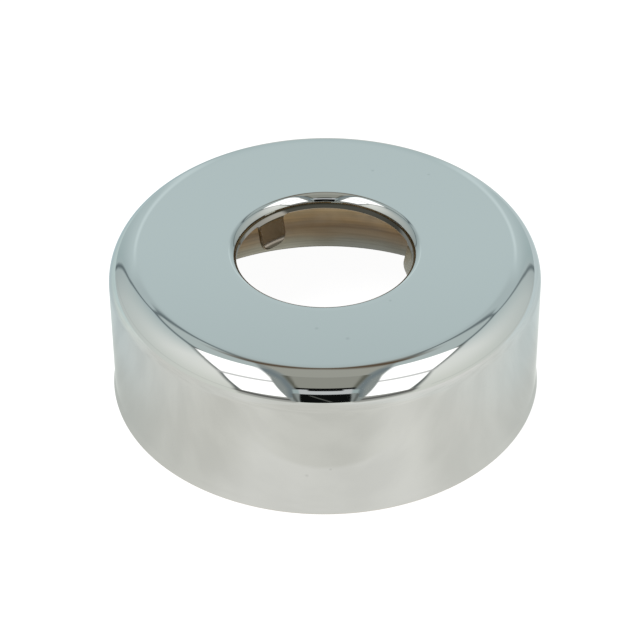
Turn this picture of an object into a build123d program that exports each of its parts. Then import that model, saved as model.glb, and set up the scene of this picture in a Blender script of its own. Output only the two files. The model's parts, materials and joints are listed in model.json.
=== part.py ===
from build123d import *
import os

# A pressed escutcheon that slides over a waste pipe and covers its hole in the wall or floor.
# All lengths in mm. The pipe axis is Z, and the open rim stands on the plane z = 0.

# Driving sizes of the pipe and the cup
pipe_diameter = 32.0
pipe_clearance = 0.2
rim_diameter = 80.0
height = 29.0
sheet = 0.6

# Driving sizes of the cup's bends
shoulder_radius = 5.8
rim_flare = 0.35
flare_height = 2.0
flare_bend_radius = 4.0
rim_edge_round = 0.15

# Driving sizes of the collar that is rolled down around the pipe
lip_radius = 1.7
collar_straight = 1.1

# Driving sizes of the spring tongues that hang from the collar and grip the pipe
tongue_count = 3
first_tongue_angle = 128.5
tongue_width = 5.8
tongue_drop = 6.3
tongue_bite = 0.8
tongue_grip_drop = 5.0
tongue_fold_drop = 0.2
tongue_tip_flare = 0.55
tongue_fold_radius = 0.8
tongue_curl_radius = 3.0
tongue_root_round = 0.9
tongue_root_overlap = 0.5

# Sizes that follow
pipe_radius = pipe_diameter / 2
bore_radius = pipe_radius + pipe_clearance
rim_radius = rim_diameter / 2
wall_radius = rim_radius - rim_flare
collar_edge = height - lip_radius - collar_straight

grip_radius = pipe_radius - tongue_bite
grip_level = collar_edge - tongue_grip_drop
fold_level = collar_edge - tongue_fold_drop
tip_level = collar_edge - tongue_drop
tongue_half_width = tongue_width / 2

# The profiles run on past their trimmed ends by one sheet thickness
trim_share = sheet / flare_height
tip_share = 1 + sheet / (grip_level - tip_level)


# One spring tongue, made on the +X side
with BuildPart() as tongue:
    # Sheet folded in towards the pipe, then curled out again at its tip
    with BuildSketch(Plane.XZ):
        with BuildLine():
            FilletPolyline(
                (bore_radius, collar_edge + tongue_root_overlap),
                (bore_radius, fold_level),
                (grip_radius, grip_level),
                (
                    grip_radius + tip_share * tongue_tip_flare,
                    grip_level - tip_share * (grip_level - tip_level),
                ),
                radius=[tongue_fold_radius, tongue_curl_radius],
            )
            offset(amount=sheet, side=Side.LEFT)
        make_face()
    revolve(axis=Axis.Z)

    # Punched outline, with a round end and rounded corners at the root
    with BuildSketch(Plane.YZ) as outline:
        with Locations((0, collar_edge)):
            Rectangle(
                tongue_width + 4 * tongue_root_round,
                tongue_root_overlap,
                align=(Align.CENTER, Align.MIN),
            )
            Rectangle(
                tongue_width,
                tongue_drop - tongue_half_width,
                align=(Align.CENTER, Align.MAX),
            )
        with Locations((0, tip_level + tongue_half_width)):
            Circle(tongue_half_width)
        root_row = outline.vertices().filter_by_position(
            Axis.Y, collar_edge - tongue_root_round, collar_edge + tongue_root_overlap / 2
        )
        fillet(root_row.sort_by(Axis.X)[1:-1], radius=tongue_root_round)
    extrude(amount=bore_radius + 2 * sheet, mode=Mode.INTERSECT)


# The whole escutcheon, one piece of sheet
with BuildPart() as escutcheon:
    # Cup, from the flared rim up the wall, over the shoulder and the flat top, down the collar
    with BuildSketch(Plane.XZ):
        with BuildLine():
            FilletPolyline(
                (rim_radius + trim_share * rim_flare, -trim_share * flare_height),
                (wall_radius, flare_height),
                (wall_radius, height),
                (bore_radius, height),
                (bore_radius, collar_edge),
                radius=[flare_bend_radius, shoulder_radius, lip_radius],
            )
            offset(amount=sheet, side=Side.LEFT)
        make_face()
    revolve(axis=Axis.Z)

    # Rim trimmed flat, its two edges broken
    split(bisect_by=Plane.XY, keep=Keep.TOP)
    fillet(escutcheon.edges().group_by(Axis.Z)[0], radius=rim_edge_round)

    # Tongues around the collar
    with PolarLocations(0, tongue_count, start_angle=first_tongue_angle):
        add(tongue.part)

os.makedirs("parts", exist_ok=True)
escutcheon.part.label = "escutcheon"
export_step(escutcheon.part, "parts/escutcheon.step")
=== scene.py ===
import json
import math

import bpy
import numpy as np
from mathutils import Color, Matrix, Vector


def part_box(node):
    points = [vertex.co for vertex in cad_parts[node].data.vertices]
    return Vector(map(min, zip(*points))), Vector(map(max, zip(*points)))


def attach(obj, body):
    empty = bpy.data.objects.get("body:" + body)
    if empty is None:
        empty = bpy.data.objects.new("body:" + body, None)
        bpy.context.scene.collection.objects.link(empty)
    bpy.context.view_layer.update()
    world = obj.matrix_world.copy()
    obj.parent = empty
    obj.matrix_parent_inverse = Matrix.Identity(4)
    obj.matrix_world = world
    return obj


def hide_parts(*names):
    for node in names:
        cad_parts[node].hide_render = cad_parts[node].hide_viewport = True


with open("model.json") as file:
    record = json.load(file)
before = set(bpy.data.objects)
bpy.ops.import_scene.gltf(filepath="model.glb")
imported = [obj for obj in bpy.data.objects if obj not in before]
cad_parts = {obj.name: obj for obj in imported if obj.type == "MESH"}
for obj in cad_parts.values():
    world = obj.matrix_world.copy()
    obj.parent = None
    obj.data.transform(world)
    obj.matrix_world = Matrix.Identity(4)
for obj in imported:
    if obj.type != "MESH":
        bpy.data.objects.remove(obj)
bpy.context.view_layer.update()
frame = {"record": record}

# Lengths are in metres. The pipe axis is Z, the open rim stands on z = 0, and the camera is on the -Y side.
MM = 0.001

# Sizes of the part, read from its record or the same as in its source
NODE = "escutcheon"
mounts = {mount["name"]: mount for mount in frame["record"]["mounts"]}
bore_dims = mounts["pipe_bore"]["dims"]
BORE_RADIUS = bore_dims["r_mm"] * MM
COLLAR_STRAIGHT = bore_dims["length_mm"] * MM
COLLAR_EDGE = mounts["pipe_bore"]["pos_m"][2] - COLLAR_STRAIGHT / 2
LIP_START = COLLAR_EDGE + COLLAR_STRAIGHT
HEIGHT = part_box(NODE)[1][2]
LIP_RADIUS = HEIGHT - LIP_START

SHEET = 0.6 * MM
RIM_RADIUS = 40.0 * MM
SHOULDER_RADIUS = 5.8 * MM
RIM_FLARE = 0.35 * MM
FLARE_HEIGHT = 2.0 * MM
FLARE_BEND_RADIUS = 4.0 * MM
RIM_EDGE_ROUND = 0.15 * MM
CUT_EDGE_ROUND = 0.2 * MM

PIPE_RADIUS = 16.0 * MM
TONGUE_COUNT = 3
FIRST_TONGUE_ANGLE = math.radians(128.5)
TONGUE_WIDTH = 5.8 * MM
TONGUE_DROP = 6.3 * MM
TONGUE_BITE = 0.8 * MM
TONGUE_GRIP_DROP = 5.0 * MM
TONGUE_FOLD_DROP = 0.2 * MM
TONGUE_TIP_FLARE = 0.55 * MM
TONGUE_FOLD_RADIUS = 0.8 * MM
TONGUE_CURL_RADIUS = 3.0 * MM
TONGUE_ROOT_ROUND = 0.9 * MM

# Fineness of the mesh
ARC_STEP = math.radians(2.8)
LEAST_ARC_STEPS = 3
RUN_ROWS = 8
EDGE_STEPS = 3
TONGUE_COLUMNS = 28
TONGUE_ROWS = 30
TONGUE_ROW_POWER = 1.7
COLUMNS_BETWEEN = 104


def rounded_path(corners, radii):
    """Points and unit tangents along straight runs that are joined by tangent arcs."""
    corners = [np.array(corner, float) for corner in corners]
    runs = [b - a for a, b in zip(corners, corners[1:])]
    ways = [run / np.linalg.norm(run) for run in runs]
    points, tangents = [], []

    def straight(start, end, way):
        for step in range(RUN_ROWS + 1):
            share = (1 - math.cos(math.pi * step / RUN_ROWS)) / 2
            points.append(start + share * (end - start))
            tangents.append(way)

    start = corners[0]
    for corner, radius, way, next_way in zip(corners[1:-1], radii, ways, ways[1:]):
        side = np.sign(way[0] * next_way[1] - way[1] * next_way[0])
        turn = math.acos(np.clip(way @ next_way, -1, 1))
        reach = radius * math.tan(turn / 2)
        straight(start, corner - reach * way, way)
        left = np.array([-way[1], way[0]]) * side
        centre = points[-1] + radius * left
        steps = max(LEAST_ARC_STEPS, round(turn / ARC_STEP))
        for step in range(1, steps):
            angle = turn * step / steps
            across = math.cos(angle) * left - math.sin(angle) * way
            points.append(centre - radius * across)
            tangents.append(math.cos(angle) * way + math.sin(angle) * left)
        start = corner + reach * next_way
    straight(start, corners[-1], ways[-1])
    return np.array(points), np.array(tangents)


def edge_rows(out_round, width):
    """Steps over a rounded cut edge: how far out, and the share of the width that is crossed."""
    steps = [math.pi / 2 * k / EDGE_STEPS for k in range(1, EDGE_STEPS + 1)]
    near = [(out_round * math.sin(a), out_round * (1 - math.cos(a)) / width) for a in steps]
    return near + [(out, 1 - share) for out, share in reversed(near)]


# The cup's outer face from the rim to the collar's edge, and its inner face one sheet inside
wall_radius = RIM_RADIUS - RIM_FLARE
rim_start = RIM_RADIUS - RIM_FLARE * RIM_EDGE_ROUND / FLARE_HEIGHT
root_level = COLLAR_EDGE + CUT_EDGE_ROUND
outer, tangent = rounded_path(
    [
        (rim_start, RIM_EDGE_ROUND),
        (wall_radius, FLARE_HEIGHT),
        (wall_radius, HEIGHT),
        (BORE_RADIUS, HEIGHT),
        (BORE_RADIUS, root_level),
    ],
    [FLARE_BEND_RADIUS, SHOULDER_RADIUS, LIP_RADIUS],
)
inner = outer - SHEET * np.stack([tangent[:, 1], -tangent[:, 0]], axis=1)
inner[0] = (rim_start - SHEET / tangent[0][1], RIM_EDGE_ROUND)

# The tongue's face towards the pipe and its back, as radius over height. The path runs on past the
# tip by as much again, so that both of them reach the tip's level.
grip_radius = PIPE_RADIUS - TONGUE_BITE
grip_level = COLLAR_EDGE - TONGUE_GRIP_DROP
tip_level = COLLAR_EDGE - TONGUE_DROP
tongue_face, tongue_way = rounded_path(
    [
        (BORE_RADIUS, HEIGHT),
        (BORE_RADIUS, COLLAR_EDGE - TONGUE_FOLD_DROP),
        (grip_radius, grip_level),
        (grip_radius + 2 * TONGUE_TIP_FLARE, 2 * tip_level - grip_level),
    ],
    [TONGUE_FOLD_RADIUS, TONGUE_CURL_RADIUS],
)
tongue_back = tongue_face + SHEET * np.stack([-tongue_way[:, 1], tongue_way[:, 0]], axis=1)


def tongue_point(angle, across, level, share):
    """A point of a tongue's sheet, share 0 on the face towards the pipe and 1 on its back."""
    face = np.interp(-level, -tongue_face[:, 1], tongue_face[:, 0])
    back = np.interp(-level, -tongue_back[:, 1], tongue_back[:, 0])
    azimuth = angle + math.asin(across / ((face + back) / 2))
    radius = face + share * (back - face)
    return (radius * math.cos(azimuth), radius * math.sin(azimuth), level)


# A tongue's outline, drawn in by the rounding of its cut edge
half_width = TONGUE_WIDTH / 2
end_half = half_width - CUT_EDGE_ROUND
end_centre = tip_level + half_width
root_centre = (half_width + TONGUE_ROOT_ROUND, COLLAR_EDGE - TONGUE_ROOT_ROUND)
root_reach = math.asin(root_centre[0] / (BORE_RADIUS + SHEET / 2))

# The columns across a tongue, as shares of its half width, closer together at its sides
column_angles = [math.pi * (k / TONGUE_COLUMNS - 0.5) for k in range(TONGUE_COLUMNS + 1)]
column_shares = [math.sin(angle) for angle in column_angles]


def side_reach(level):
    """Half the tongue's width at a level, wider where it is rounded into the collar."""
    rise = max(0.0, level - root_centre[1])
    radius = TONGUE_ROOT_ROUND + CUT_EDGE_ROUND
    return root_centre[0] - math.sqrt(max(0.0, radius ** 2 - rise ** 2))


def end_level(column):
    """The level of the round end below a column, which is given as a share of the half width."""
    return end_centre - end_half * math.sqrt(1 - column ** 2)


def row_level(row, bottom):
    """The level of a row of a tongue that ends at a bottom level. Rows are closer near the root."""
    return root_level - (row / TONGUE_ROWS) ** TONGUE_ROW_POWER * (root_level - bottom)


def outline_places():
    """Places of a tongue's outline, across and up: down its left side, round its end and up again."""
    left = []
    for row in range(1, TONGUE_ROWS + 1):
        level = row_level(row, end_centre)
        left.append((-side_reach(level), level))
    end = [(column * end_half, end_level(column)) for column in column_shares[1:-1]]
    right = [(-across, level) for across, level in reversed(left)]
    return left + end + right


def outline_way(across, level):
    """The way out of the sheet, across and up, at a point of a tongue's outline."""
    side = math.copysign(1.0, across)
    if level > root_centre[1]:
        way = (side * root_centre[0] - across, root_centre[1] - level)
    elif level < end_centre:
        way = (across, level - end_centre)
    else:
        way = (side, 0.0)
    length = math.hypot(*way)
    return way[0] / length, way[1] / length


class Shell:
    """Vertices and faces of the pressed sheet, with the finish of each face."""

    OUTSIDE, INSIDE, EDGE = range(3)

    def __init__(self):
        self.vertices = []
        self.faces = []
        self.finishes = []

    def vertex(self, place):
        self.vertices.append(place)
        return len(self.vertices) - 1

    def strips(self, rows, finish):
        """Quads between each row of vertices and the next."""
        for first, second in zip(rows, rows[1:]):
            for corners in zip(first, first[1:], second[1:], second):
                self.faces.append(corners)
                self.finishes.append(finish)

    def bands(self, rings, finish, gaps=()):
        """Quads between each closed ring and the next, but for the columns in the gaps."""
        count = len(rings[0])
        for upper, lower in zip(rings, rings[1:]):
            for k in range(count):
                if k not in gaps:
                    after = (k + 1) % count
                    self.strips([[upper[k], upper[after]], [lower[k], lower[after]]], finish)

    def piece(self, name):
        """The Blender object, without the vertices that the tongues left without a face."""
        used, faces = np.unique(np.array(self.faces), return_inverse=True)
        faces = faces.reshape(len(self.faces), -1)
        mesh = bpy.data.meshes.new(name)
        mesh.from_pydata([self.vertices[k] for k in used], [], faces.tolist())
        mesh.polygons.foreach_set("material_index", self.finishes)
        mesh.polygons.foreach_set("use_smooth", [True] * len(mesh.polygons))
        mesh.validate()
        made = bpy.data.objects.new(name, mesh)
        bpy.context.scene.collection.objects.link(made)
        return made


def column_azimuths():
    """Azimuths of the columns round the cup, and each tongue's angle, first and last column."""
    azimuths, spans = [], []
    pitch = 2 * math.pi / TONGUE_COUNT
    between = pitch - 2 * root_reach
    for number in range(TONGUE_COUNT):
        angle = FIRST_TONGUE_ANGLE + number * pitch
        spans.append((angle, len(azimuths), len(azimuths) + TONGUE_COLUMNS))
        azimuths += [angle + math.asin(share * math.sin(root_reach)) for share in column_shares]
        start = angle + root_reach
        azimuths += [start + between * k / COLUMNS_BETWEEN for k in range(1, COLUMNS_BETWEEN)]
    return azimuths, spans


def add_cup(shell, azimuths, spans):
    """The turned cup. It gives back the rings of the collar's edge, from the face to the back."""
    def ring(radius, level):
        return [shell.vertex((radius * math.cos(a), radius * math.sin(a), level)) for a in azimuths]

    outer_rings = [ring(*place) for place in outer]
    collar_rings = []
    for out, share in edge_rows(CUT_EDGE_ROUND, SHEET):
        collar_rings.append(ring(BORE_RADIUS + share * SHEET, root_level - out))
    inner_rings = [ring(*place) for place in inner[::-1]]
    rim_rings = []
    rim_width = outer[0][0] - inner[0][0]
    for out, share in edge_rows(RIM_EDGE_ROUND, rim_width):
        rim_rings.append(ring(inner[0][0] + share * rim_width, RIM_EDGE_ROUND - out))

    shell.bands(outer_rings, Shell.OUTSIDE)
    shell.bands(inner_rings, Shell.INSIDE)
    shell.bands([inner_rings[-1], *rim_rings, outer_rings[0]], Shell.EDGE)
    collar = [outer_rings[-1], *collar_rings, inner_rings[0]]
    in_tongues = {k for angle, first, last in spans for k in range(first, last)}
    shell.bands(collar, Shell.EDGE, in_tongues)
    return collar


def tongue_rows(shell, angle, share, root_row):
    """Rows of vertices down one side of a tongue's sheet, from its root."""
    rows = [root_row]
    for k in range(1, TONGUE_ROWS + 1):
        row = []
        for column in column_shares:
            level = row_level(k, end_level(column))
            place = tongue_point(angle, column * side_reach(level), level, share)
            row.append(shell.vertex(place))
        rows.append(row)
    return rows


def add_tongue(shell, angle, face_row, back_row, left_edge, right_edge):
    """A tongue that hangs from its root's rows of vertices, with the cut edge round its outline."""
    outlines = []
    for share, root_row, finish in ((0, face_row, Shell.OUTSIDE), (1, back_row, Shell.INSIDE)):
        rows = tongue_rows(shell, angle, share, root_row)
        shell.strips(rows, finish)
        left = [row[0] for row in rows]
        right = [row[-1] for row in reversed(rows)]
        outlines.append(left + rows[-1][1:-1] + right)

    # Lines of vertices over the rounded edge, one at each place of the outline
    lines = [left_edge]
    for across, level in outline_places():
        out_across, out_up = outline_way(across, level)
        line = []
        for out, share in edge_rows(CUT_EDGE_ROUND, SHEET):
            place = tongue_point(angle, across + out * out_across, level + out * out_up, share)
            line.append(shell.vertex(place))
        lines.append(line)
    lines.append(right_edge)
    columns = [[face, *line, back] for face, line, back in zip(outlines[0], lines, outlines[1])]
    shell.strips(columns, Shell.EDGE)


def build_shell():
    """The whole escutcheon as one welded mesh: a turned cup whose collar runs on into its tongues."""
    shell = Shell()
    azimuths, spans = column_azimuths()
    collar = add_cup(shell, azimuths, spans)
    for angle, first, last in spans:
        face_row, *edge_rings, back_row = [ring[first:last + 1] for ring in collar]
        left_edge = [ring[0] for ring in edge_rings]
        right_edge = [ring[-1] for ring in edge_rings]
        add_tongue(shell, angle, face_row, back_row, left_edge, right_edge)
    return shell.piece("escutcheon_shell")


# Numbers of a mix node's sockets when it mixes colours
MIX_SHARE, MIX_FIRST, MIX_SECOND, MIX_RESULT = 0, 6, 7, 2


class Tree:
    """A node tree that is written as calls, where an input is a value or another node's output."""

    def __init__(self, tree):
        self.tree = tree
        tree.nodes.clear()

    def node(self, kind, inputs=(), **settings):
        node = self.tree.nodes.new(kind)
        for name, value in settings.items():
            setattr(node, name, value)
        for key, value in dict(inputs).items():
            self.put(node.inputs[key], value)
        return node

    def put(self, socket, value):
        if isinstance(value, bpy.types.NodeSocket):
            self.tree.links.new(value, socket)
        elif socket.type == "RGBA":
            socket.default_value = (*value, 1.0)
        else:
            socket.default_value = value

    def add(self, kind, inputs=(), output=0, **settings):
        """A new node, of which one output is used."""
        return self.node(kind, inputs, **settings).outputs[output]

    def math(self, operation, *values):
        return self.add("ShaderNodeMath", enumerate(values), operation=operation)

    def product(self, first, *others):
        for other in others:
            first = self.math("MULTIPLY", first, other)
        return first

    def ramp(self, value, low, high, to_low=0.0, to_high=1.0):
        """A smooth step from to_low at low to to_high at high."""
        inputs = {"Value": value, "From Min": low, "From Max": high, "To Min": to_low, "To Max": to_high}
        return self.add("ShaderNodeMapRange", inputs, interpolation_type="SMOOTHSTEP")

    def mix(self, share, first, second):
        inputs = {MIX_SHARE: share, MIX_FIRST: first, MIX_SECOND: second}
        return self.add("ShaderNodeMix", inputs, MIX_RESULT, data_type="RGBA")

    def colours(self, value, stops):
        """A colour that changes evenly between stops, which are pairs of a value and a colour."""
        node = self.node("ShaderNodeValToRGB", {0: value})
        elements = node.color_ramp.elements
        # New stops start in the middle, and each is then moved to its place
        while len(elements) < len(stops):
            elements.new(0.5)
        for element, (position, colour) in zip(elements, stops):
            element.position = position
            element.color = (*colour, 1.0)
        return node.outputs[0]

    def split(self, vector):
        return tuple(self.node("ShaderNodeSeparateXYZ", {0: vector}).outputs)

    def multiplied(self, vector, factors):
        return self.add("ShaderNodeVectorMath", {0: vector, 1: factors}, operation="MULTIPLY")

    def scaled(self, vector, factor):
        return self.add("ShaderNodeVectorMath", {0: vector, "Scale": factor}, operation="SCALE")

    def distance(self, place, centre=(0.0, 0.0, 0.0)):
        return self.add("ShaderNodeVectorMath", {0: place, 1: centre}, "Value", operation="DISTANCE")

    def noise(self, place, scale, detail):
        return self.add("ShaderNodeTexNoise", {"Vector": place, "Scale": scale, "Detail": detail})


def material(name):
    """A new material, its node tree and the place on the object that is shaded."""
    made = bpy.data.materials.new(name)
    made.use_nodes = True
    tree = Tree(made.node_tree)
    return made, tree, tree.add("ShaderNodeTexCoord", output="Object")


def metal(tree, colour, roughness, more=()):
    """A metal surface for a material, with any further inputs by name."""
    inputs = {"Base Color": colour, "Metallic": 1.0, "Roughness": roughness, **dict(more)}
    shader = tree.add("ShaderNodeBsdfPrincipled", inputs)
    tree.node("ShaderNodeOutputMaterial", {"Surface": shader})


# The range that most of a noise texture's values lie in
NOISE_RANGE = (0.3, 0.7)

# Outside of the sheet
PLATE_REFLECTANCE = 0.63
PLATE_COLOUR = (0.63, 0.635, 0.632)
EDGE_TINT = (0.78, 0.79, 0.79)
WARM_PLATE_COLOUR = (0.58, 0.53, 0.43)
TONGUE_PLATE_COLOUR = (0.72, 0.66, 0.60)
# A lighter colour for the right tongue, a painted reflection
RIGHT_TONGUE_LIGHT_COLOUR = (0.96, 0.93, 0.84)
TONGUE_TIP_COLOUR = (0.16, 0.145, 0.115)
DULL_LIP_COLOUR = (0.45, 0.46, 0.455)
# Painted shade along the lip's fold, a dark band in place of the shaded inside of the cup mirrored there
FOLD_SHADE_COLOUR = (0.40, 0.40, 0.35)
SPECK_COLOUR = (0.36, 0.37, 0.37)

# Its zones, each from where it starts to where it is full, measured as a radius, a height or across
LIP_EDGE = BORE_RADIUS + LIP_RADIUS
NEAR_BORE = (BORE_RADIUS + 2 * MM, BORE_RADIUS + MM)
BELOW_LIP = (LIP_START, COLLAR_EDGE - MM)
ON_TONGUE = (COLLAR_EDGE, COLLAR_EDGE - MM)
ON_TIP = (grip_level + 0.5 * MM, grip_level - 0.2 * MM)
# Where the right tongue's painted reflection fades in, across
RIGHT_TONGUE_LIGHT_ACROSS = (0.0, 10 * MM)
DULL_LIP_RADIUS = (LIP_EDGE - 0.15 * MM, LIP_EDGE - 0.7 * MM)
DULL_LIP_ASIDE = (8.5 * MM, 13 * MM)
DULL_LIP_BACK = (-2 * MM, 4 * MM)
# Where the painted shade along the lip's fold lies, on the left only
FOLD_SHADE_BOTTOM = (LIP_START - 0.25 * MM, LIP_START)
FOLD_SHADE_TOP = (LIP_START + 0.5 * MM, LIP_START + 0.2 * MM)
FOLD_SHADE_LEFT = (9 * MM, 0.0)

# Its polish
SMUDGE_SCALE, SMUDGE_DETAIL, SMUDGE_RANGE = 60.0, 4.0, (0.35, 0.75)
POLISHED_ROUGHNESS = (0.02, 0.05)
TONGUE_ROUGHNESS = 0.2
WAVE_SCALE, WAVE_DETAIL, WAVE_STRENGTH, WAVE_DEPTH = 45.0, 1.0, 0.02, 0.4 * MM

# Faint marks on the top and the wall, each a place and a radius
SPECK_STRENGTH = 0.3
SPECKS = (
    ((-1.5 * MM, -23.3 * MM, HEIGHT), 0.55 * MM),
    ((3.9 * MM, -26.2 * MM, HEIGHT), 0.6 * MM),
    ((9.2 * MM, 24.6 * MM, HEIGHT), 0.5 * MM),
    ((19.8 * MM, 23.2 * MM, HEIGHT), 0.45 * MM),
    ((11.6 * MM, -15.5 * MM, HEIGHT), 0.45 * MM),
    ((-3.4 * MM, -39.5 * MM, 8.9 * MM), 0.5 * MM),
    ((0.8 * MM, -39.6 * MM, 10.4 * MM), 0.4 * MM),
)


def specked(tree, place, colour):
    """The colour with the faint marks on it."""
    for spot, radius in SPECKS:
        share = tree.ramp(tree.distance(place, spot), 0.0, radius, SPECK_STRENGTH, 0.0)
        colour = tree.mix(share, colour, SPECK_COLOUR)
    return colour


def plated_outside():
    """Polished chrome plate, thinner and warmer inside the collar and on the tongues."""
    made, tree, place = material("chrome_plate")
    x, y, z = tree.split(place)
    radius = tree.distance(tree.multiplied(place, (1.0, 1.0, 0.0)))
    near_bore = tree.ramp(radius, *NEAR_BORE)
    warm = tree.product(tree.ramp(z, *BELOW_LIP), near_bore)
    colour = specked(tree, place, tree.mix(warm, PLATE_COLOUR, WARM_PLATE_COLOUR))
    # The lip is duller to both sides, and along its fold on the left it is painted dark, a painted shade
    # that stands in for the shaded inside of the cup mirrored there
    dull = tree.product(
        tree.ramp(tree.math("ABSOLUTE", x), *DULL_LIP_ASIDE),
        tree.ramp(radius, *DULL_LIP_RADIUS),
        tree.ramp(y, *DULL_LIP_BACK),
    )
    colour = tree.mix(dull, colour, DULL_LIP_COLOUR)
    # Painted shade: a dark band along the fold, on the left
    fold_shade = tree.product(tree.ramp(z, *FOLD_SHADE_BOTTOM), tree.ramp(z, *FOLD_SHADE_TOP), tree.ramp(x, *FOLD_SHADE_LEFT))
    colour = tree.mix(tree.product(fold_shade, near_bore), colour, FOLD_SHADE_COLOUR)
    # The right tongue is painted lighter than the left, a painted reflection, and the tips are dark
    tongue = tree.mix(tree.ramp(x, *RIGHT_TONGUE_LIGHT_ACROSS), TONGUE_PLATE_COLOUR, RIGHT_TONGUE_LIGHT_COLOUR)
    tongue = tree.mix(tree.ramp(z, *ON_TIP), tongue, TONGUE_TIP_COLOUR)
    on_tongue = tree.product(tree.ramp(z, *ON_TONGUE), near_bore)
    colour = tree.mix(on_tongue, colour, tongue)

    smudge = tree.noise(place, SMUDGE_SCALE, SMUDGE_DETAIL)
    polished = tree.ramp(smudge, *SMUDGE_RANGE, *POLISHED_ROUGHNESS)
    roughness = tree.math("MULTIPLY_ADD", on_tongue, TONGUE_ROUGHNESS, polished)
    waves = tree.noise(place, WAVE_SCALE, WAVE_DETAIL)
    inputs = {"Strength": WAVE_STRENGTH, "Distance": WAVE_DEPTH, "Height": waves}
    bump = tree.add("ShaderNodeBump", inputs)
    metal(tree, colour, roughness, {"Normal": bump, "Specular Tint": EDGE_TINT})
    return made


# Bands round the inner wall, from the rim up to half the height, and how uneven they are. They are partly
# the plate's own nickel and brass and partly painted reflection and shade, darkest in the middle
INNER_TONE_AND_SHADE_BANDS = (
    (0.0, (0.62, 0.62, 0.58)),
    (0.13, (0.49, 0.46, 0.39)),
    (0.22, (0.50, 0.40, 0.29)),
    (0.37, (0.36, 0.25, 0.155)),
    (0.46, (0.52, 0.36, 0.20)),
    (0.66, (0.66, 0.51, 0.31)),
)
BAND_SCALE, BAND_DETAIL, BAND_WOBBLE = 60.0, 2.0, 0.6 * MM

# Drawing lines round the wall, and soft grey patches of tarnish
LINE_SCALE, LINE_DETAIL, LINE_STRETCH, LINE_TONES = 50.0, 3.0, (1.0, 1.0, 40.0), (0.88, 1.1)
TARNISH_SCALE, TARNISH_DETAIL, TARNISH_STRETCH = 55.0, 3.0, (1.0, 1.0, 4.0)
TARNISH_RANGE, TARNISH_SHARE, TARNISH_COLOUR = (0.45, 0.75), 0.45, (0.36, 0.35, 0.33)
INNER_GRAIN_SCALE, INNER_GRAIN_DETAIL, INNER_ROUGHNESS = 300.0, 3.0, (0.34, 0.46)

# Painted light and shade on the inner wall: darker on the right, brighter and warmer on the left, most of
# all low down
INNER_RIGHT_SHADE_TINT = (0.93, 0.93, 0.93)
INNER_LEFT_LIGHT_TINT = (1.09, 1.05, 0.98)
INNER_LOW_LEFT_LIGHT_TINT = (1.36, 1.30, 1.20)
INNER_RIGHT_TO_LEFT = (8 * MM, -8 * MM)
LOW_LEFT_ACROSS = (1 * MM, -14 * MM)
LOW_LEFT_HEIGHT = (5.2 * MM, 3.8 * MM)


def plated_inside():
    """Thin dull plate inside the cup: nickel grey at the rim, brass shows through further up, with painted
    reflection and shade in its bands.
    """
    made, tree, place = material("inner_plate")
    x, _, z = tree.split(place)
    unevenness = tree.noise(place, BAND_SCALE, BAND_DETAIL)
    wobble = tree.ramp(unevenness, *NOISE_RANGE, -BAND_WOBBLE, BAND_WOBBLE)
    level = tree.math("DIVIDE", tree.math("ADD", z, wobble), HEIGHT / 2)
    drawn = tree.noise(tree.multiplied(place, LINE_STRETCH), LINE_SCALE, LINE_DETAIL)
    # The bands carry the plate's tone together with painted reflection and shade
    colour = tree.scaled(tree.colours(level, INNER_TONE_AND_SHADE_BANDS), tree.ramp(drawn, *NOISE_RANGE, *LINE_TONES))
    # Painted light and shade: the wall is tinted lighter on the left and darker on the right
    tint = tree.mix(tree.ramp(x, *INNER_RIGHT_TO_LEFT), INNER_RIGHT_SHADE_TINT, INNER_LEFT_LIGHT_TINT)
    low_left = tree.product(tree.ramp(z, *LOW_LEFT_HEIGHT), tree.ramp(x, *LOW_LEFT_ACROSS))
    tint = tree.mix(low_left, tint, INNER_LOW_LEFT_LIGHT_TINT)
    patches = tree.noise(tree.multiplied(place, TARNISH_STRETCH), TARNISH_SCALE, TARNISH_DETAIL)
    tarnish = tree.ramp(patches, *TARNISH_RANGE, 0.0, TARNISH_SHARE)
    colour = tree.mix(tarnish, tree.multiplied(colour, tint), TARNISH_COLOUR)
    grain = tree.noise(place, INNER_GRAIN_SCALE, INNER_GRAIN_DETAIL)
    metal(tree, colour, tree.ramp(grain, *NOISE_RANGE, *INNER_ROUGHNESS))
    return made


EDGE_COLOURS = ((0.48, 0.39, 0.28), (0.64, 0.55, 0.43))
EDGE_GRAIN_SCALE, EDGE_GRAIN_DETAIL, EDGE_ROUGHNESS = 900.0, 3.0, (0.25, 0.4)


def cut_edge():
    """Trimmed and punched edges, plated but not polished."""
    made, tree, place = material("cut_edge")
    grain = tree.noise(place, EDGE_GRAIN_SCALE, EDGE_GRAIN_DETAIL)
    metal(tree, tree.mix(grain, *EDGE_COLOURS), tree.ramp(grain, *NOISE_RANGE, *EDGE_ROUGHNESS))
    return made


# The light tent around the object, which the plate mirrors. It is painted in the world by direction.


def direction(azimuth, elevation):
    """A direction by its azimuth from the camera's side, positive to the right, and its elevation."""
    azimuth, elevation = math.radians(azimuth), math.radians(elevation)
    level = math.cos(elevation)
    return Vector((level * math.sin(azimuth), -level * math.cos(azimuth), math.sin(elevation)))


def overhead(right, back):
    """The direction of a point on a flat ceiling one unit up, so much to the right and to the back."""
    return Vector((right, back, 1.0)).normalized()


RIGHT = Vector((1, 0, 0))
AHEAD_ELEVATION = 30
AHEAD = direction(0, AHEAD_ELEVATION)
AHEAD_UP = AHEAD.cross(RIGHT)


def ahead(right, up):
    """The direction of a point on a board that leans over the front, one unit away."""
    return (AHEAD + right * RIGHT + up * AHEAD_UP).normalized()


def seen(red, green, blue):
    """The tent's brightness where the plate shows this screen colour, given from 0 to 255."""
    screen = Vector((red, green, blue)) / 255
    return tuple(value / PLATE_REFLECTANCE for value in Color(screen).from_srgb_to_scene_linear())


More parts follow.
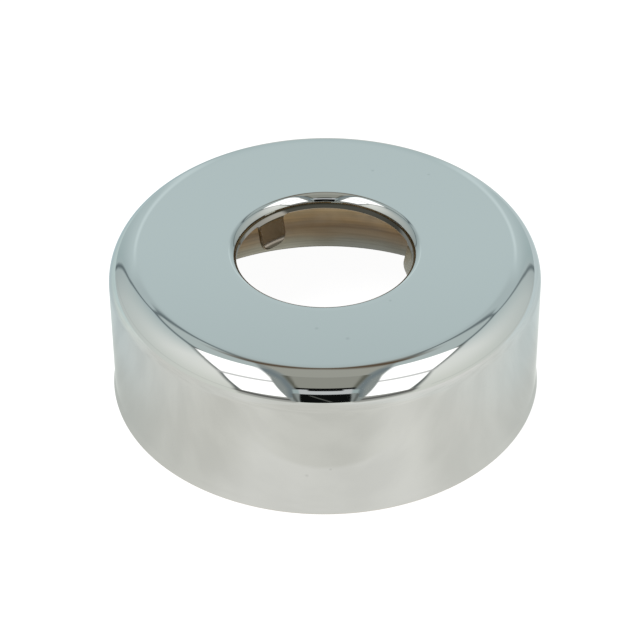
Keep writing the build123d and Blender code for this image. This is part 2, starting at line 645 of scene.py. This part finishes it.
# Places of the wall tones round the tent, from the camera's side at 0 to the back at 1
WALL_PLACES = {"front": 0.25, "side": 0.5, "behind": 0.77, "corner": 0.86, "back_corner": 0.9, "back": 0.965}
HIGH_ON_WALL = 0.75
# Keeps the division by a direction's level part from failing straight up
LEAST_LEVEL = 0.01

BLACK = seen(13, 14, 14)
STREAK_LIGHT = seen(192, 206, 207)
WALL_FOOT_GREY = seen(160, 164, 161)
WALL_TOP_GREY = seen(163, 176, 177)
CEILING_GREY = seen(166, 177, 176)
SEAM_GREY = seen(98, 109, 112)

LAMP_WHITE = (1.9, 1.9, 1.88)
PANEL_SEAM_GREY = seen(172, 173, 172)
PANEL_EDGE_GREY = seen(92, 98, 96)
LEFT_FOOT_GREY = seen(158, 159, 154)
RIGHT_FOOT_GREY = seen(150, 151, 146)
LEFT_FOOT_LINE = seen(82, 82, 80)
RIGHT_FOOT_LINE = seen(84, 84, 82)

FRAME_GREY = seen(131, 137, 135)
FRAME_BEND_GREY = seen(100, 112, 117)
FRAME_SEAM_GREY = seen(92, 96, 93)
BOARD_BACK_GREY = seen(149, 150, 142)
BOARD_FRONT_GREY = seen(137, 138, 130)
BOARD_EDGE_GREY = seen(92, 93, 84)
BOARD_BROWN = seen(82, 68, 53)
BAR_END_GREY = seen(150, 164, 164)
BAR_LIGHT = seen(180, 183, 184)
GLINT_GREY = seen(86, 88, 84)


class Tent:
    """The inside of the tent, painted from the walls up to what hangs in front of them."""

    def __init__(self, tree):
        self.tree = tree
        self.way = tree.add("ShaderNodeTexCoord", output="Generated")
        self.x, self.y, self.z = tree.split(self.way)
        self.colour = (0.0, 0.0, 0.0)

    def over(self, normal):
        """How far a direction lies on a plane's side, where the plane holds the object."""
        inputs = {0: self.way, 1: normal}
        return self.tree.add("ShaderNodeVectorMath", inputs, "Value", operation="DOT_PRODUCT")

    def paint(self, share, colour):
        self.colour = self.tree.mix(share, self.colour, colour)

    def patch(self, colour, corners, softness=0.012):
        """A patch with straight sides, its corners given as directions in order."""
        middle = sum(corners, Vector()).normalized()
        steps = []
        for first, second in zip(corners, corners[1:] + corners[:1]):
            normal = first.cross(second).normalized()
            if normal.dot(middle) < 0:
                normal = -normal
            steps.append(self.tree.ramp(self.over(normal), -softness, softness))
        self.paint(self.tree.product(*steps), colour)

    def seam(self, colour, corners, width=0.03, strength=1.0):
        """A soft line along straight runs between directions."""
        lines = None
        for first, second in zip(corners, corners[1:]):
            normal = first.cross(second).normalized()
            across = self.tree.math("ABSOLUTE", self.over(normal))
            parts = [self.tree.ramp(across, width, 0.0, 0.0, strength)]
            for end, other in ((first, second), (second, first)):
                inward = (other - other.project(end)).normalized()
                parts.append(self.tree.ramp(self.over(inward), -width, 0.0))
            line = self.tree.product(*parts)
            lines = line if lines is None else self.tree.math("MAXIMUM", lines, line)
        self.paint(lines, colour)

    def tones(self, **tones):
        """Wall tones round the tent, by the names of their places."""
        tree = self.tree
        level = tree.math("SQRT", tree.math("SUBTRACT", 1.0, tree.product(self.z, self.z)))
        to_back = tree.math("DIVIDE", self.y, tree.math("MAXIMUM", level, LEAST_LEVEL))
        place = tree.math("MULTIPLY_ADD", to_back, 0.5, 0.5)
        return tree.colours(place, [(WALL_PLACES[name], tone) for name, tone in tones.items()])


def walls(tent):
    low = tent.tones(
        front=seen(198, 201, 194),
        side=seen(190, 195, 190),
        behind=seen(178, 186, 184),
        corner=seen(160, 171, 171),
        back_corner=seen(157, 173, 174),
        back=seen(173, 188, 189),
    )
    high = tent.tones(
        front=seen(214, 216, 211),
        side=seen(210, 213, 209),
        behind=seen(182, 191, 189),
        corner=seen(172, 183, 182),
        back_corner=seen(163, 176, 177),
        back=seen(176, 190, 191),
    )
    tent.colour = tent.tree.mix(tent.tree.ramp(tent.z, 0.0, HIGH_ON_WALL), low, high)
    # Light that falls down the back wall on both sides
    left_streak = [direction(-167.5, -4), direction(-167.5, 15), direction(-165, 32)]
    right_streak = [direction(166.5, -4), direction(166.5, 15), direction(163, 32)]
    for streak in (left_streak, right_streak):
        tent.seam(STREAK_LIGHT, streak, width=0.1)
    # Where the walls meet the floor
    left_foot = [direction(-132, -0.5), direction(-100, 2.5), direction(-66, 5.5), direction(-43, 6)]
    right_foot = [direction(131, -2.5), direction(104, -3.5), direction(81, -0.5), direction(52, 3.5)]
    for foot in (left_foot, right_foot):
        tent.seam(WALL_FOOT_GREY, foot, strength=0.4)
    # The walls darken towards the ceiling at the back
    wall_top = [overhead(-0.95, 1.25), overhead(1.0, 1.2), overhead(0.55, 0.7), overhead(-0.45, 0.8)]
    tent.patch(WALL_TOP_GREY, wall_top, softness=0.05)


def ceiling(tent):
    left, right = overhead(-0.495, 0.853), overhead(0.594, 0.754)
    middle_left, middle_right = overhead(-0.14, 1.06), overhead(0.16, 0.95)
    back_edge = [left, middle_left, overhead(0.1, 1.06), right]
    tent.patch(CEILING_GREY, back_edge + [overhead(0.6, 0.2), overhead(-0.52, 0.2)])
    # Seams up the walls' corners and over the ceiling, to the same two points
    left_corner = [direction(-138.7, -12), direction(-138.7, 8), overhead(-1.089, 1.359), left]
    right_corner = [direction(137, -12), direction(137, 20), overhead(0.8, 0.98), right]
    tent.seam(SEAM_GREY, left_corner, width=0.035)
    tent.seam(SEAM_GREY, right_corner, width=0.04, strength=0.9)
    tent.seam(SEAM_GREY, [overhead(-0.508, 0.354), left], width=0.045)
    tent.seam(SEAM_GREY, [overhead(0.602, 0.29), right], width=0.045)
    # Seams along the back edge, thin at first, then on towards the board overhead
    left_bend, right_bend = overhead(-0.32, 0.955), overhead(0.43, 0.83)
    left_end = [overhead(-0.122, 0.97), overhead(-0.126, 0.8)]
    right_end = [overhead(0.137, 0.92), overhead(0.15, 0.75)]
    for start, bend, middle, end in (
        (left, left_bend, middle_left, left_end),
        (right, right_bend, middle_right, right_end),
    ):
        tent.seam(SEAM_GREY, [start, bend], width=0.022)
        tent.seam(SEAM_GREY, [bend, middle], width=0.05)
        tent.seam(SEAM_GREY, [middle, *end], width=0.035, strength=0.8)


def lamp_panels(tent):
    left_edge = [overhead(-0.49, 0.36), overhead(-0.88, -0.45), overhead(-1.93, -1.91), direction(-41.5, 9)]
    right_edge = [overhead(0.6, 0.3), overhead(0.94, -0.53), direction(46.5, 20), direction(41.5, 8)]
    for edge in (left_edge, right_edge):
        tent.seam(PANEL_EDGE_GREY, edge, width=0.065)
    # Dim foot of the tent's front below the panels
    left_foot = [direction(-13, 22), direction(-42, 13), direction(-42, -1), direction(-13, -1)]
    right_foot = [direction(13, 22), direction(42, 12), direction(42, -1), direction(13, -1)]
    tent.patch(LEFT_FOOT_GREY, left_foot, softness=0.03)
    tent.patch(RIGHT_FOOT_GREY, right_foot, softness=0.03)
    tent.seam(LEFT_FOOT_LINE, [direction(-41, 8), direction(-13, 8)], width=0.1)
    tent.seam(RIGHT_FOOT_LINE, [direction(41, 6), direction(13, 8)], width=0.1)
    # Each panel is two sheets with a seam between them
    left_back = [overhead(-0.508, 0.354), overhead(-0.195, 0.32)]
    left_seam = [overhead(-0.87, -0.44), overhead(-0.35, -0.44)]
    left_front = [direction(-17.4, 16.2), direction(-40.3, 11.8)]
    right_back = [overhead(0.604, 0.28), overhead(0.2, 0.31)]
    right_seam = [overhead(0.93, -0.48), overhead(0.35, -0.48)]
    right_front = [direction(17.3, 16.8), direction(40, 10.5)]
    for back, seam, front in ((left_back, left_seam, left_front), (right_back, right_seam, right_front)):
        tent.patch(LAMP_WHITE, back + seam[::-1])
        tent.patch(LAMP_WHITE, seam + front)
        tent.seam(PANEL_SEAM_GREY, seam, width=0.08, strength=0.9)


# Back edge of the board overhead, where the frame around it starts
BOARD_BACK = [overhead(-0.125, 0.71), overhead(-0.03, 0.825), overhead(0.03, 0.825), overhead(0.14, 0.64)]


def panel_frame(tent):
    """Frame between the panels, with a bend and a seam on each side."""
    front = [ahead(-0.45, 1.35), ahead(0.455, 1.35), ahead(0.315, -0.5), ahead(-0.31, -0.5)]
    tent.patch(FRAME_GREY, BOARD_BACK + [ahead(0.45, 1.3), ahead(-0.45, 1.3)], softness=0.008)
    tent.patch(FRAME_GREY, front, softness=0.008)
    for side in (-1, 1):
        bend = [overhead(side * 0.19, 0.3), overhead(side * 0.228, -0.25)]
        bend += [ahead(side * 0.262, 0.3), ahead(side * 0.28, -0.2)]
        tent.seam(FRAME_BEND_GREY, bend, width=0.05, strength=0.75)
        tent.seam(FRAME_SEAM_GREY, [ahead(side * 0.255, 0.0), ahead(side * 0.262, -0.5)], width=0.025)


def board_overhead(tent):
    """Board over the cup, in two tones, with its dark side edges and brown back edge."""
    fold_left, fold_right = overhead(-0.16, 0.03), overhead(0.165, 0.03)
    foot_left, foot_right = ahead(-0.217, 0.39), ahead(0.213, 0.37)
    tent.patch(BOARD_BACK_GREY, BOARD_BACK + [fold_right, fold_left], softness=0.01)
    tent.patch(BOARD_FRONT_GREY, [fold_left, fold_right, foot_right, foot_left], softness=0.01)
    tent.seam(BOARD_EDGE_GREY, [fold_left, foot_left])
    tent.seam(BOARD_EDGE_GREY, [fold_right, foot_right])
    tent.seam(BOARD_BROWN, BOARD_BACK, width=0.11)


def opening(tent):
    """Dark opening that the camera looks through, and the light bar across it."""
    gap = [ahead(-0.222, 0.42), ahead(0.222, 0.42), ahead(0.222, 0.29), ahead(-0.222, 0.31)]
    bar_ends = [ahead(-0.25, 0.28), ahead(0.252, 0.26), ahead(0.252, 0.05), ahead(-0.252, 0.05)]
    bar = [ahead(-0.2, 0.31), ahead(0.2, 0.31), ahead(0.2, 0.0), ahead(-0.2, 0.0)]
    dip = [ahead(-0.13, 0.36), ahead(0.13, 0.36), ahead(0.13, 0.235), ahead(-0.13, 0.235)]
    hole = [ahead(-0.2, 0.03), ahead(0.198, 0.03), ahead(0.232, -0.52), ahead(-0.236, -0.52)]
    tent.patch(BLACK, gap)
    tent.patch(BAR_END_GREY, bar_ends, softness=0.01)
    tent.patch(BAR_LIGHT, bar)
    tent.patch(BLACK, dip)
    tent.patch(BLACK, hole, softness=0.01)
    tent.seam(GLINT_GREY, [ahead(-0.12, -0.05), ahead(0.05, -0.45)], width=0.02)


WHITE = (1.0, 1.0, 1.0)


def build_world():
    world = bpy.data.worlds.new("studio")
    bpy.context.scene.world = world
    world.use_nodes = True
    tree = Tree(world.node_tree)
    tent = Tent(tree)
    for layer in (walls, ceiling, lamp_panels, panel_frame, board_overhead, opening):
        layer(tent)
    glossy = tree.add("ShaderNodeLightPath", output="Is Glossy Ray")
    background = tree.add("ShaderNodeBackground", {"Color": tree.mix(glossy, WHITE, tent.colour)})
    tree.node("ShaderNodeOutputWorld", {"Surface": background})
    world.cycles.sampling_method = "NONE"


# The floor as the plate mirrors it: warm at the front, bluish at the back and paler on the right
FLOOR_FRONT_COLOUR = (0.83, 0.83, 0.77)
FLOOR_BACK_COLOUR = (0.57, 0.69, 0.70)
FLOOR_RIGHT_COLOUR = (0.95, 0.96, 0.91)
FLOOR_RIGHT_SHARE = 0.45
FRONT_TO_BACK = (-45 * MM, 70 * MM)
MIDDLE_TO_RIGHT = (0.0, 50 * MM)

# Light of each panel, a lobe that starts beside the middle and spreads forward and outward
LOBE_COLOUR = (0.99, 0.99, 0.93)
LOBE_START_LEFT = 12 * MM
LOBE_START_RIGHT = 16 * MM
LOBE_START_CHANGE = (-2 * MM, 2 * MM)
LOBE_SLOPE = 0.87
LOBE_HALF_WIDTH = 14 * MM
LOBE_LEAST_HALF_WIDTH = 3 * MM
LOBE_SPREAD = 0.4
LOBE_STRENGTH = 0.6
LOBE_FORWARD = (-10 * MM, 4 * MM)
LOBE_LEFT_TO_RIGHT = (-5 * MM, 5 * MM)
LOBE_SIDE_SHARES = (0.8, 1.5)

# Brighter strip close to the rim, in the middle
STRIP_COLOUR = (0.95, 0.95, 0.90)
STRIP_STRENGTH = 0.75
STRIP_ASIDE = (16 * MM, 30 * MM)
STRIP_FORWARD = (12.5 * MM, 11 * MM)

# Cooler and brighter to both sides, most far out on the left
LEFT_TINT = (1.13, 1.16, 1.2)
RIGHT_TINT = (1.05, 1.11, 1.15)
FAR_LEFT_TINT = (1.33, 1.32, 1.29)
LEFT_TO_RIGHT = (-10 * MM, 10 * MM)
TINT_ASIDE = (40 * MM, 53 * MM)
TINT_BACK = (-30 * MM, 5 * MM)
TINT_FRONT_SHARE = 0.35
FAR_LEFT_ASIDE = (-60 * MM, -92 * MM)
FAR_LEFT_BACK = (-25 * MM, 25 * MM)

# Bright in front of the right panel
FAR_RIGHT_COLOUR = (1.02, 1.02, 0.98)
FAR_RIGHT_SHARE = 0.75
FAR_RIGHT_ASIDE = (50 * MM, 120 * MM)
FAR_RIGHT_FORWARD = (-15 * MM, 40 * MM)

# Soft unevenness of the cloth
CLOTH_STRETCH = (0.4, 1.0, 1.0)
CLOTH_SCALE, CLOTH_DETAIL, CLOTH_RANGE = 110.0, 3.0, (0.35, 0.65)
CLOTH_TONES = (0.965, 1.035)

# Dark under the cup, but for the patch that is lit through the hole
SHADE_FRONT_COLOUR = (0.105, 0.105, 0.09)
SHADE_BACK_COLOUR = (0.34, 0.35, 0.33)
SHADE_BACK = (22 * MM, 30 * MM)
LIT_PATCH_COLOUR = (0.6, 0.58, 0.53)
LIT_PATCH_CENTRE = (9 * MM, 9 * MM, 0.0)
LIT_PATCH_EDGE = (22 * MM, 20 * MM)


def panel_light(tree, x, forward):
    """How much of the panels' light a place on the floor gets."""
    start = tree.ramp(x, *LOBE_START_CHANGE, LOBE_START_LEFT, LOBE_START_RIGHT)
    centre = tree.math("MULTIPLY_ADD", forward, LOBE_SLOPE, start)
    off = tree.math("ABSOLUTE", tree.math("SUBTRACT", tree.math("ABSOLUTE", x), centre))
    spread = tree.math("MULTIPLY_ADD", forward, LOBE_SPREAD, LOBE_HALF_WIDTH)
    off = tree.math("DIVIDE", off, tree.math("MAXIMUM", spread, LOBE_LEAST_HALF_WIDTH))
    return tree.product(
        tree.ramp(off, 0.0, 1.0, LOBE_STRENGTH, 0.0),
        tree.ramp(forward, *LOBE_FORWARD),
        tree.ramp(x, *LOBE_LEFT_TO_RIGHT, *LOBE_SIDE_SHARES),
    )


def side_tint(tree, x, y):
    """What the floor's colour is multiplied by."""
    tint = tree.mix(tree.ramp(x, *LEFT_TO_RIGHT), LEFT_TINT, RIGHT_TINT)
    aside = tree.ramp(tree.math("ABSOLUTE", x), *TINT_ASIDE)
    aside = tree.product(aside, tree.ramp(y, *TINT_BACK, TINT_FRONT_SHARE, 1.0))
    tint = tree.mix(aside, WHITE, tint)
    far_left = tree.product(tree.ramp(x, *FAR_LEFT_ASIDE), tree.ramp(y, *FAR_LEFT_BACK))
    return tree.mix(far_left, tint, FAR_LEFT_TINT)


def under_cup(tree, place, y):
    """The floor's colour inside the rim."""
    shade = tree.mix(tree.ramp(y, *SHADE_BACK), SHADE_FRONT_COLOUR, SHADE_BACK_COLOUR)
    lit = tree.ramp(tree.distance(place, LIT_PATCH_CENTRE), *LIT_PATCH_EDGE)
    return tree.mix(lit, shade, LIT_PATCH_COLOUR)


def mirrored_floor(tree, place, x, y):
    """The floor's colour as the plate mirrors it."""
    forward = tree.math("SUBTRACT", -RIM_RADIUS, y)
    colour = tree.mix(tree.ramp(y, *FRONT_TO_BACK), FLOOR_FRONT_COLOUR, FLOOR_BACK_COLOUR)
    to_right = tree.ramp(x, *MIDDLE_TO_RIGHT, 0.0, FLOOR_RIGHT_SHARE)
    colour = tree.mix(to_right, colour, FLOOR_RIGHT_COLOUR)
    colour = tree.mix(panel_light(tree, x, forward), colour, LOBE_COLOUR)
    strip = tree.ramp(tree.math("ABSOLUTE", x), *STRIP_ASIDE, STRIP_STRENGTH, 0.0)
    strip = tree.product(strip, tree.ramp(forward, *STRIP_FORWARD))
    colour = tree.mix(strip, colour, STRIP_COLOUR)
    colour = tree.multiplied(colour, side_tint(tree, x, y))
    far_right = tree.ramp(forward, *FAR_RIGHT_FORWARD, 0.0, FAR_RIGHT_SHARE)
    far_right = tree.product(tree.ramp(x, *FAR_RIGHT_ASIDE), far_right)
    colour = tree.mix(far_right, colour, FAR_RIGHT_COLOUR)
    cloth = tree.noise(tree.multiplied(place, CLOTH_STRETCH), CLOTH_SCALE, CLOTH_DETAIL)
    colour = tree.scaled(colour, tree.ramp(cloth, *CLOTH_RANGE, *CLOTH_TONES))
    outside = tree.ramp(tree.distance(place), RIM_RADIUS - SHEET, RIM_RADIUS)
    return tree.mix(outside, under_cup(tree, place, y), colour)


# The floor as it is seen directly, white with the object's shadow, and as it lights the object
SHOWN_GLOW = (0.96, 0.96, 0.96)
SHOWN_COLOUR = (0.11, 0.11, 0.11)
PLAIN_COLOUR = (0.8, 0.8, 0.8)

# The tent's side and back walls stand on the floor, so the plate sees no floor beyond them
TENT_SIDE = (200 * MM, 215 * MM)
TENT_BACK = (200 * MM, 215 * MM)
FLOOR_SIZE = 6.0


def pale_floor():
    made, tree, place = material("pale_floor")
    x, y, _ = tree.split(place)
    path = tree.node("ShaderNodeLightPath").outputs
    glow = tree.add("ShaderNodeEmission", {"Color": mirrored_floor(tree, place, x, y)})
    beyond_side = tree.ramp(tree.math("ABSOLUTE", x), *TENT_SIDE)
    beyond = tree.math("MAXIMUM", beyond_side, tree.ramp(y, *TENT_BACK))
    clear = tree.add("ShaderNodeBsdfTransparent")
    mirrored = tree.add("ShaderNodeMixShader", {0: beyond, 1: glow, 2: clear})
    plain = tree.add("ShaderNodeBsdfDiffuse", {"Color": PLAIN_COLOUR})
    unseen = tree.add("ShaderNodeMixShader", {0: path["Is Glossy Ray"], 1: plain, 2: mirrored})
    shown_glow = tree.add("ShaderNodeEmission", {"Color": SHOWN_GLOW})
    shown_shade = tree.add("ShaderNodeBsdfDiffuse", {"Color": SHOWN_COLOUR})
    shown = tree.add("ShaderNodeAddShader", {0: shown_glow, 1: shown_shade})
    straight = tree.math("MAXIMUM", path["Is Camera Ray"], path["Is Transmission Ray"])
    shader = tree.add("ShaderNodeMixShader", {0: straight, 1: unseen, 2: shown})
    tree.node("ShaderNodeOutputMaterial", {"Surface": shader})
    return made


def build_floor():
    mesh = bpy.data.meshes.new("floor")
    half = FLOOR_SIZE / 2
    corners = [(-half, -half, 0), (half, -half, 0), (half, half, 0), (-half, half, 0)]
    mesh.from_pydata(corners, [], [(0, 1, 2, 3)])
    mesh.materials.append(pale_floor())
    floor = bpy.data.objects.new("floor", mesh)
    bpy.context.scene.collection.objects.link(floor)


LAMP_PLACE = Vector((-0.25, -0.2, 0.8))
LAMP_SIZE = 0.5
LAMP_POWER = 6.0


def build_lamp():
    """A round softbox that points at the object."""
    light = bpy.data.lights.new("softbox", "AREA")
    light.shape = "DISK"
    light.size = LAMP_SIZE
    light.energy = LAMP_POWER
    lamp = bpy.data.objects.new("softbox", light)
    lamp.location = LAMP_PLACE
    lamp.rotation_euler = (-LAMP_PLACE).to_track_quat("-Z", "Y").to_euler()
    lamp.visible_glossy = False
    bpy.context.scene.collection.objects.link(lamp)


# The camera, which looks down at the front of the cup. Its angles are in degrees.
CAMERA_DISTANCE = 0.4932
CAMERA_ELEVATION = 39.561
CAMERA_YAW = 0.113
CAMERA_PITCH = 1.126
CAMERA_ROLL = 0.353
CAMERA_CLIP_START = 0.01
FOCAL_LENGTH_PX = 2602.9
IMAGE_WIDTH_PX = 640.0
SENSOR_WIDTH = 36.0


def turning(degrees, axis):
    return Matrix.Rotation(math.radians(degrees), 3, axis)


def build_camera():
    data = bpy.data.cameras.new("camera")
    data.sensor_width = SENSOR_WIDTH
    data.lens = FOCAL_LENGTH_PX / IMAGE_WIDTH_PX * SENSOR_WIDTH
    data.clip_start = CAMERA_CLIP_START
    camera = bpy.data.objects.new("camera", data)
    bpy.context.scene.collection.objects.link(camera)
    # Aimed at the origin, then turned about its own up, right and forward axes
    place = direction(0, CAMERA_ELEVATION) * CAMERA_DISTANCE
    forward = -place.normalized()
    right = RIGHT
    up = right.cross(forward)
    yaw = turning(CAMERA_YAW, up)
    forward, right = yaw @ forward, yaw @ right
    pitch = turning(CAMERA_PITCH, right)
    forward, up = pitch @ forward, pitch @ up
    roll = turning(CAMERA_ROLL, forward)
    right, up = roll @ right, roll @ up
    axes = Matrix((right, up, -forward)).transposed()
    camera.matrix_world = Matrix.Translation(place) @ axes.to_4x4()
    bpy.context.scene.camera = camera


shell = build_shell()
for finish in (plated_outside(), plated_inside(), cut_edge()):
    shell.data.materials.append(finish)
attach(shell, "root")
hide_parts(NODE)

build_world()
build_floor()
build_lamp()
build_camera()
bpy.context.scene.view_settings.view_transform = "Standard"
